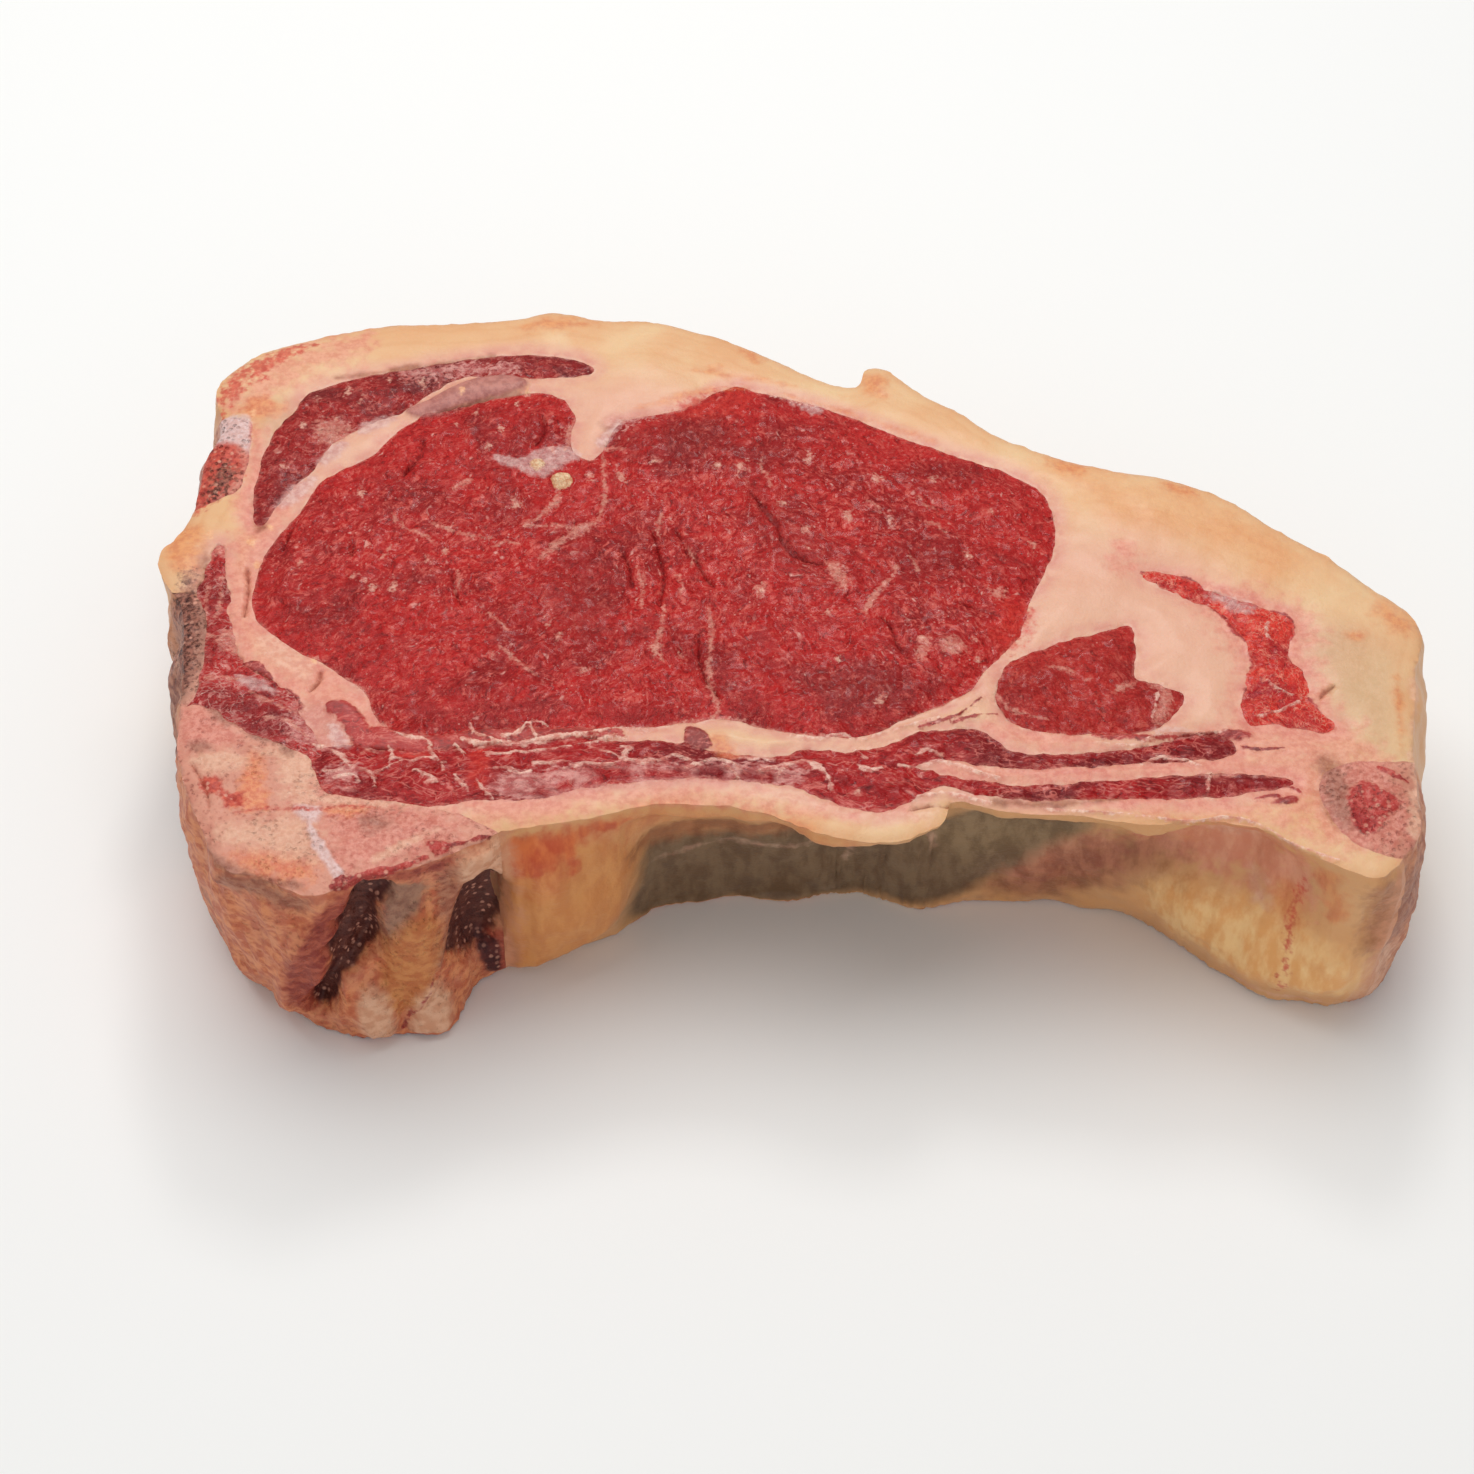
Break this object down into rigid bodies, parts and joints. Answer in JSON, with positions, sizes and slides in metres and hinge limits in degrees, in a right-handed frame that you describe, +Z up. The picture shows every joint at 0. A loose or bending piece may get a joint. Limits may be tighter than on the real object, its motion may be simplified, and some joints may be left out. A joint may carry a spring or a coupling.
{
  "type": "raw club steak",
  "caption": "Thick raw club steak on the bone: a large eye of lean, smaller muscles, a broad fat edge, the sawn backbone and a rib end, flat underneath so that it lies still.",
  "frame": {"origin": "on the flat underside, under the middle of the slice's bounding box", "axes": "+X along the slice's length, from the backbone to the thin tail end; +Y from the bone edge to the fat edge; +Z up through the thickness"},
  "size_m": [0.2474, 0.155, 0.051],
  "materials": {
    "fat": "outer and seam fat, moist",
    "eye_muscle": "raw lean, moist",
    "cap_muscle": "raw lean, moist",
    "side_muscle": "raw lean, moist",
    "rib_muscle": "raw lean, moist",
    "back_muscle": "raw lean, darker",
    "flank_streak": "raw lean, bright",
    "vertebra": "sawn backbone",
    "spine_edge": "dark spongy bone edge",
    "spine_tip": "cartilage and spongy bone",
    "rib_bone": "rib with dark marrow"
  },
  "bodies": {
    "root": {"fat": "fat", "eye_muscle": "eye_muscle", "cap_muscle": "cap_muscle", "side_muscle": "side_muscle", "rib_muscle": "rib_muscle", "back_muscle": "back_muscle", "flank_streak": "flank_streak", "vertebra": "vertebra", "spine_edge": "spine_edge", "spine_tip": "spine_tip", "rib_bone": "rib_bone"}
  },
  "joints": []
}
